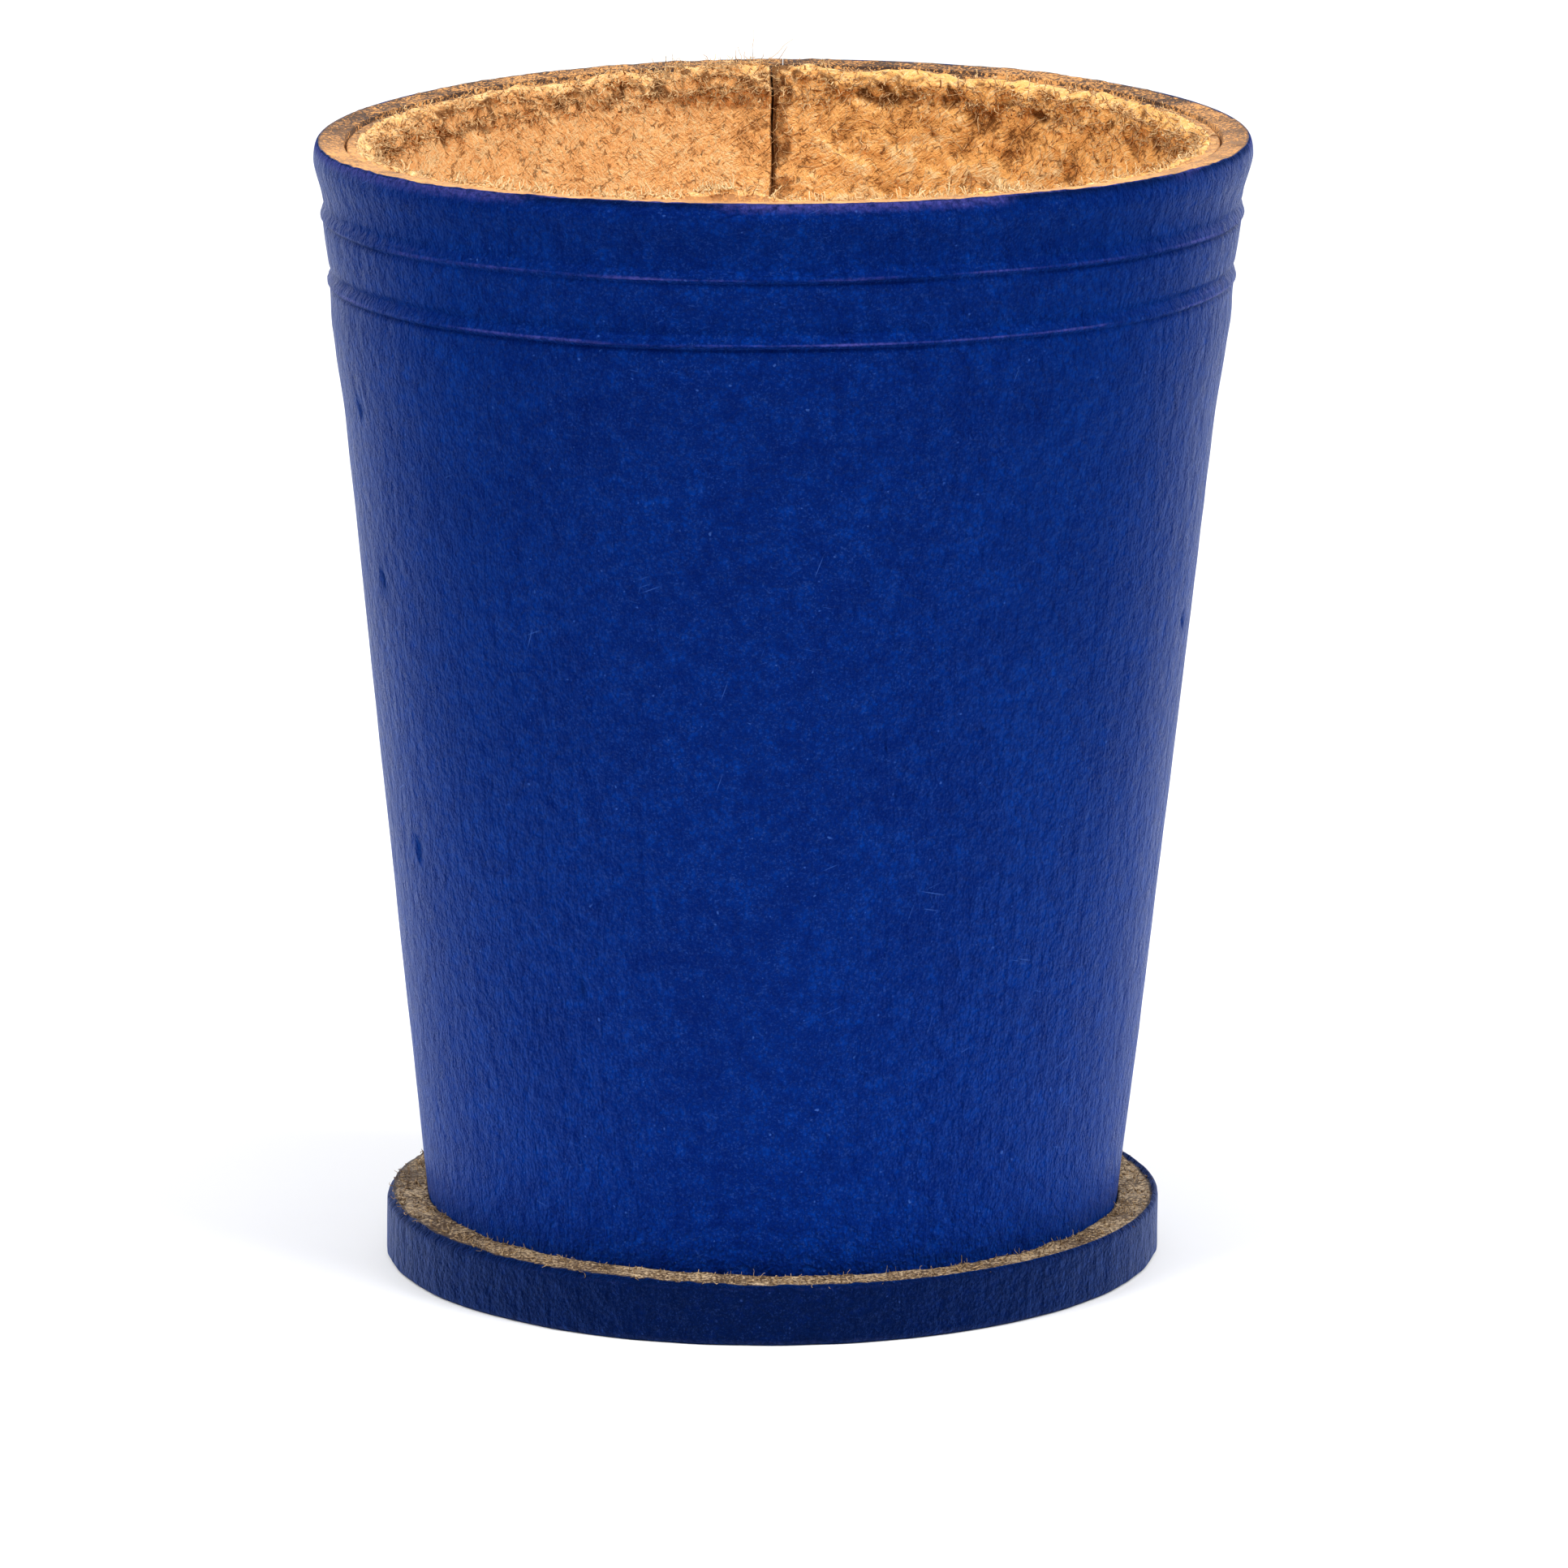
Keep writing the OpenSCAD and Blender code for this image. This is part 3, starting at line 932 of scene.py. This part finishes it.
def liner_fibres(grid, hollow_shade, inside, on_top):
    """Matted fuzz on the lining's raw top edge, and fibres lying on its inner face."""
    rng = np.random.default_rng(70)
    up = unit(np.gradient(grid, axis=0))
    along = unit(np.gradient(grid, axis=1))
    normals = unit(np.cross(up, along))
    rows, columns = grid.shape[:2]
    spacing = np.linalg.norm(np.gradient(grid, axis=0), axis=2).mean(1)
    width = np.linalg.norm(np.gradient(grid, axis=1), axis=2)
    height = grid[..., 2].mean(1)
    turned = np.arctan2(grid[..., 0] - LEAN * grid[..., 2] / CUP_H, grid[..., 1])

    def pick(count, row_weight, where=1.0, swing=(0, FULL_TURN), lift=0.0):
        weight = row_weight[:, None] * width * where * (1 - 0.7 * hollow_shade)
        spot = rng.choice(rows * columns, count, p=(weight / weight.sum()).ravel())
        row, column = spot // columns, np.clip(spot % columns, 1, columns - 2)
        angle = rng.uniform(*swing, count)[:, None]
        place = row, column
        heading = np.cos(angle) * up[place] + np.sin(angle) * along[place]
        return grid[place] + lift * normals[place], unit(heading), normals[place]

    crown = on_top * spacing * (inside > 0.02)
    hem = spacing * smoothstep(height, 94.2, 95.6) * smoothstep(height, 97.6, 96.6) * inside
    front = bell(np.cos(turned), -1, 0.25) * (0.15 + smoothstep(smooth_noise(grid, 4, 73), 0, 0.4))
    add_fibres("rim_fibres", [
        (pick(2500, crown, lift=-0.02), 0.8, 0.075, 1.1, (-0.1, 0.35), (0.2, 0.85)),
        (pick(2300, hem, swing=(-1.9, 1.9)), 0.9, 0.075, 1.0, (0.0, 0.6), (0.05, 0.85)),
        (pick(1100, hem), 1.2, 0.045, 0.9, (0.0, 0.5), (0, 0.7)),
        # The fuzz at the front gets the palest tones: painted light
        (pick(1050, crown, front), 1.0, 0.075, 1.0, (0.3, 1.2), (0.8, 1.0)),
        (pick(320, crown, bell(turned, math.radians(-9), math.radians(11))),
         1.2, 0.055, 1.0, (0.0, 0.6), (0.3, 0.9)),
        (pick(5, crown, bell(turned, math.radians(-3), math.radians(1.5))),
         3.0, 0.045, 0.4, (0.7, 1.3), (0.2, 0.6)),
    ], 71, fibre_look)
    upper = inside * spacing * smoothstep(height, 66, 80) * (on_top < 0.5)
    lower = inside * spacing * smoothstep(height, 80, 70)
    shaggy = panel_share(turned)
    seam_side = bell(turned, (LINER_SEAM + 0.6) / LINER_MID_R, 0.5 / LINER_MID_R)
    add_fibres("wall_fibres", [
        (pick(1300, upper, 1 - 0.9 * shaggy), 0.6, 0.04, 0.7, (-0.05, 0.12), (0.0, 0.7)),
        (pick(1500, upper, shaggy), 0.9, 0.05, 0.7, (-0.05, 0.25), (0.0, 0.85)),
        (pick(2300, upper, shaggy, swing=(1.9, 2.8)), 1.3, 0.055, 0.35, (0.0, 0.3), (0.3, 0.9)),
        (pick(110, upper, seam_side, swing=(1, 2.1)), 0.9, 0.045, 0.6, (0.0, 0.4), (0.1, 0.7)),
        (pick(1300, lower), 1.6, 0.05, 0.5, (-0.05, 0.25), (0.2, 0.9)),
    ], 72, fibre_look)


# ---------------- foot band

# The butt joint's angle and half its width
BAND_JOINT = math.radians(-24)
BAND_GAP = 0.18
BAND_ROUND = 0.5
# How much the band's top edge drops towards +X, in mm for each mm
BAND_TILT = 0.012


def foot_band():
    corner = np.linspace(0, math.pi / 2, 6)
    round_in = BAND_ROUND * (1 - np.cos(corner))
    round_up = BAND_ROUND * (1 - np.sin(corner))
    side_z = steps((BAND_ROUND, BAND_H - BAND_ROUND, 0.26))[1:-1]
    top_in = wall_r(BAND_H) + GLUE * 0.5
    edge = np.linspace(0, 1, 15)[1:]
    radius = np.concatenate([
        [wall_r(0) + GLUE], BAND_R - round_in[::-1], np.full(len(side_z), BAND_R),
        BAND_R - round_in, BAND_R - BAND_ROUND + (top_in - BAND_R + BAND_ROUND) * edge,
        [wall_r(2.5) + GLUE],
    ])
    height = np.concatenate([
        [0], round_up[::-1], side_z, BAND_H - round_up, np.full(len(edge), BAND_H), [2.5],
    ])
    first_raw = 1 + len(corner) + len(side_z) + len(corner) - 1
    number = np.arange(len(radius))
    outside = (number >= 1) & (number <= first_raw)
    on_top = (number >= first_raw) & (number <= first_raw + len(edge))

    share = seam_fractions(FULL_TURN * BAND_R, near=4, near_step=0.16, far_step=0.34)
    angle, z, r = ring_grid(radius, height, share, BAND_GAP)
    angle += BAND_JOINT
    where = round_points(r, z, angle)
    field = partial(smooth_noise, where)
    bulge = 0.1 * field(12, 41) + 0.05 * field(3, 42)
    bulge += 0.03 * smooth_noise(where * [1, 1, 0.3], 1.2, 43)
    from_joint = np.minimum(share, 1 - share) * FULL_TURN * BAND_R
    bulge -= 0.3 * smoothstep(from_joint, 0.9, 0.1) ** 2
    r = r + np.where(outside[:, None], bulge, 0)
    rough = 0.12 * field(0.7, 44) + 0.12 * field(2.6, 45) + 0.05 * field(9, 46)
    rough -= BAND_TILT * r * np.sin(angle)
    z = z + np.where(on_top[:, None], rough, 0)

    depth = np.full(len(radius), DEEP)
    depth[on_top] = (BAND_R - BAND_ROUND - radius)[on_top] - 0.1
    wear_and_highlight = 0.45 * bell(z, BAND_H - 0.3, 0.25) + 0.5 * bell(z, 0.3, 0.4)
    piece = ring_piece(
        "band", hand_shape(round_points(r, z, angle)), [shaded_navy, band_edge],
        number[first_raw:], True,
        layers={
            "skin": np.stack([angle * BAND_R, z, 0 * z], -1),
            "wear_and_highlight": wear_and_highlight * (outside & ~on_top)[:, None],
            "burnt": 0.7 * bell(z, 0, 0.4) + 0.5 * bell(z, BAND_H, 0.3),
            "depth": np.broadcast_to(depth[:, None], z.shape),
        },
    )
    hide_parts("foot_band")


def band_fibres():
    """Short fuzz on the band's raw top edge."""
    rng = np.random.default_rng(80)
    count = 2200
    angle = rng.uniform(0, FULL_TURN, count)
    radius = rng.uniform(wall_r(BAND_H) + 0.2, BAND_R - 0.4, count)
    swing = rng.uniform(0, FULL_TURN, count)
    height = BAND_H - BAND_TILT * radius * np.sin(angle)
    roots = hand_shape(round_points(radius, height, angle))
    headings = np.stack([np.cos(swing), np.sin(swing), 0 * swing], -1)
    normals = np.repeat([[0.0, 0.0, 1.0]], count, 0)
    add_fibres(
        "band_fibres", [((roots, headings, normals), 0.6, 0.05, 0.8, (-0.1, 0.12), (0, 1))],
        seed=81, look=band_fibre_look,
    )


# ---------------- discs

DISC_COLUMNS = 360


def disc_grid(radius, low, high, step, edge_round):
    """Rows from the middle of the underside, round the edge, to the middle of the top."""
    flat = steps((0.02, radius - edge_round, step))[:-1]
    turn = np.linspace(0, math.pi / 2, 5)
    outwards = np.append(flat, radius - edge_round + edge_round * np.sin(turn))
    rise = np.append(0 * flat, edge_round * (1 - np.cos(turn)))
    side = steps((low + edge_round, high - edge_round, 0.4))[1:-1]
    r = np.concatenate([outwards, np.full(len(side), radius), outwards[::-1]])
    return r, np.concatenate([low + rise, side, high - rise[::-1]])


def disc(name, node, look, radius, low, high, top_lumps, under_lumps):
    """A round leather layer with uneven faces."""
    r, z = disc_grid(radius, low, high, step=0.45, edge_round=0.35)
    r, z = (np.repeat(values[:, None], DISC_COLUMNS, 1) for values in (r, z))
    angle = np.linspace(0, FULL_TURN, DISC_COLUMNS, endpoint=False)
    where = round_points(r, z, angle)
    lump = sum(
        size * 0.06 * smooth_noise(where, size, 50 + number)
        for number, size in enumerate((0.9, 2.4, 7.0))
    )
    share = smoothstep(z, low, high)
    z = np.maximum(z + lump * (top_lumps * share + under_lumps * (1 - share)), min(low, z.min()))
    around = round_points(r, z, angle).reshape(-1, 3)
    points = np.concatenate([around, [[0, 0, low], [0, 0, high]]])
    faces = grid_faces(len(z), DISC_COLUMNS, close_columns=True)
    bottom, top = len(around), len(around) + 1
    last_row = len(around) - DISC_COLUMNS
    for column in range(DISC_COLUMNS):
        following = (column + 1) % DISC_COLUMNS
        faces.append([bottom, following, column])
        faces.append([top, last_row + column, last_row + following])
    # On the pad, the suede paints light on the lumps and shade between them
    piece = make_piece(
        name, hand_shape(points), faces, [look],
        layers={
            "raised": np.append(lump.ravel() * 0.8, [0, 0]),
            "hollow_shade": np.zeros(len(points)),
            "nap": np.full(len(points), 0.5),
            "skin": points,
        },
    )
    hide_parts(node)


# ---------------- seam thread

THREAD_R = 0.35
STRAND_R = 0.2
STRANDS = 3
TWIST_PITCH = 1.9
THREAD_SIDES = 8


def thread_route():
    """The thread's centre line in the seam's own frame: across, outwards, up the wall."""
    stitches = len(stitch_heights())
    outside, inside = 0.02, THREAD_R + 0.1 - SHELL_T
    route = [(-ROW_X, inside, FIRST_STITCH)]
    for number in range(stitches):
        level = FIRST_STITCH + number * STITCH_PITCH
        route += [(-ROW_X, -0.3, level), (-ROW_X * 0.9, outside, level)]
        route += [(0, outside + 0.1, level), (ROW_X * 0.9, outside, level), (ROW_X, -0.3, level)]
        route.append((ROW_X, inside, level))
        if number < stitches - 1:
            route.append((-ROW_X, inside, level + STITCH_PITCH))
    return np.array(route, float)


def resample(route, spacing):
    """Evenly spaced points along a line of points."""
    length = np.concatenate([[0], np.cumsum(np.linalg.norm(np.diff(route, axis=0), axis=1))])
    at = np.linspace(0, length[-1], int(length[-1] / spacing))
    return np.stack([np.interp(at, length, route[:, axis]) for axis in range(3)], 1), at


def seam_thread():
    line, at = resample(thread_route(), 0.05)
    soften = np.hanning(9) / np.hanning(9).sum()
    padded = np.pad(line, ((4, 4), (0, 0)), mode="edge")
    line = np.stack([np.convolve(padded[:, axis], soften, "valid") for axis in range(3)], 1)
    line, at = line[::3], at[::3]
    across, over, ring = round_a_path(line, [0.31, 0.42, 0.85], THREAD_SIDES)
    strands = []
    for strand in range(STRANDS):
        phase = FULL_TURN * (at / TWIST_PITCH + strand / STRANDS)
        offset = np.cos(phase)[:, None] * across + np.sin(phase)[:, None] * over
        centre = line + (THREAD_R - STRAND_R) * offset
        strands.append(centre[:, None] + STRAND_R * ring)
    across, out, up = np.concatenate(strands).reshape(-1, 3).T
    cos, sin = math.cos(TILT), math.sin(TILT)
    placed = np.stack([across, FOOT_R + out * cos + up * sin, up * cos - out * sin], 1)
    faces = tube_faces(STRANDS, len(line), THREAD_SIDES)
    piece = make_piece("thread", hand_shape(placed), faces, [thread_look])
    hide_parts("seam_thread")


# ---------------- the cup

outer_shell()
liner_fibres(*liner())
foot_band()
band_fibres()
disc("sole", "sole_disc", sole_look, SOLE_R, 0, SOLE_T, 0.2, 0.4)
disc("pad", "floor_pad", lining, PAD_R, INSIDE_Z, PAD_TOP, 1.2, 0)
seam_thread()
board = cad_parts["base_board"]
board.data.materials.clear()
board.data.materials.append(board_look)


# ---------------- floor, light and camera

def floor():
    s = Shader("floor")
    paper = s.noise(30, detail=3)
    look = s.finish(s.mix(paper, (0.90,) * 3, (0.93,) * 3), 0.9, s.total((0.02, paper)))
    mesh = bpy.data.meshes.new("floor")
    # Narrow, in metres, so that it doesn't light the cup's sides from below
    wide, near, far = 0.105, 0.7, 0.9
    mesh.from_pydata(
        [(-wide, -near, 0), (wide, -near, 0), (wide, far, 0), (-wide, far, 0)], [], [(0, 1, 2, 3)]
    )
    mesh.materials.append(look)
    made = add_object("floor", mesh)


def soft_light(name, place, aim, size, power):
    """A square area light at a place, facing a point, in metres and watts."""
    lamp = bpy.data.lights.new(name, "AREA")
    lamp.shape = "SQUARE"
    lamp.size = size
    lamp.energy = power
    add_object(name, lamp).matrix_world = facing(place, np.subtract(place, aim))


def facing(place, away, roll=0.0):
    """A matrix at a place whose Z axis points away from what it looks at."""
    back = unit(np.array(away, float))
    right = np.cross([0, 0, 1], back)
    straight_down = np.linalg.norm(right) < 1e-6
    right = np.array([1.0, 0, 0]) if straight_down else unit(right)
    up = np.cross(back, right)
    across = math.cos(roll) * right + math.sin(roll) * up
    upward = math.cos(roll) * up - math.sin(roll) * right
    rows = [[across[i], upward[i], back[i], place[i]] for i in range(3)]
    return Matrix(rows + [[0, 0, 0, 1]])


def surroundings():
    """White for the camera. For the cup: bright behind, soft above and dim at the sides."""
    w = Nodes(bpy.data.worlds.new("studio"))
    split = w.node("ShaderNodeSeparateXYZ")
    w.feed(split.inputs[0], w.node("ShaderNodeTexCoord").outputs["Generated"])
    behind = w.fade(split.outputs["Y"], 0.5, 1.0, 0.02, 1.25)
    above = w.fade(split.outputs["Z"], 0.2, 0.9, 0.02, 0.6)
    strength = w.node("ShaderNodeMix")
    w.feed(strength.inputs[0], w.node("ShaderNodeLightPath").outputs["Is Camera Ray"])
    w.feed(strength.inputs[2], w.math("MAXIMUM", behind, above))
    w.feed(strength.inputs[3], 1.0)
    background = w.node("ShaderNodeBackground")
    w.feed(background.inputs["Color"], rgba((1, 1, 1)))
    w.feed(background.inputs["Strength"], strength.outputs[0])
    out = w.node("ShaderNodeOutputWorld")
    w.feed(out.inputs["Surface"], background.outputs[0])
    bpy.context.scene.world = w.owner


# The photo's long lens, in millimetres and radians
CAMERA_ASIDE = LEAN - 0.21
CAMERA_AWAY = 924.0
CAMERA_UP = 243.2
CAMERA_PITCH = 0.2153
CAMERA_ROLL = -0.0048
CAMERA_LENS = 251.5


def camera():
    lens = bpy.data.cameras.new("camera")
    lens.lens = CAMERA_LENS
    lens.sensor_width = 36
    lens.clip_start = 0.05
    lens.clip_end = 20
    made = add_object("camera", lens)
    away = (0, -math.cos(CAMERA_PITCH), math.sin(CAMERA_PITCH))
    place = (CAMERA_ASIDE * MM, -CAMERA_AWAY * MM, CAMERA_UP * MM)
    made.matrix_world = facing(place, away, CAMERA_ROLL)
    bpy.context.scene.camera = made


floor()
soft_light("right_key", (1.1, -0.62, 1.15), (0, 0, 0.05), 1.0, 21)
soft_light("left_key", (-1.1, -0.62, 1.15), (0, 0, 0.05), 1.0, 18)
soft_light("top_light", (0.0, 0.0, 1.5), (0, 0, 0), 1.8, 5)
surroundings()
camera()
bpy.context.scene.view_settings.view_transform = "Standard"
bpy.context.scene.view_settings.look = "Medium High Contrast"
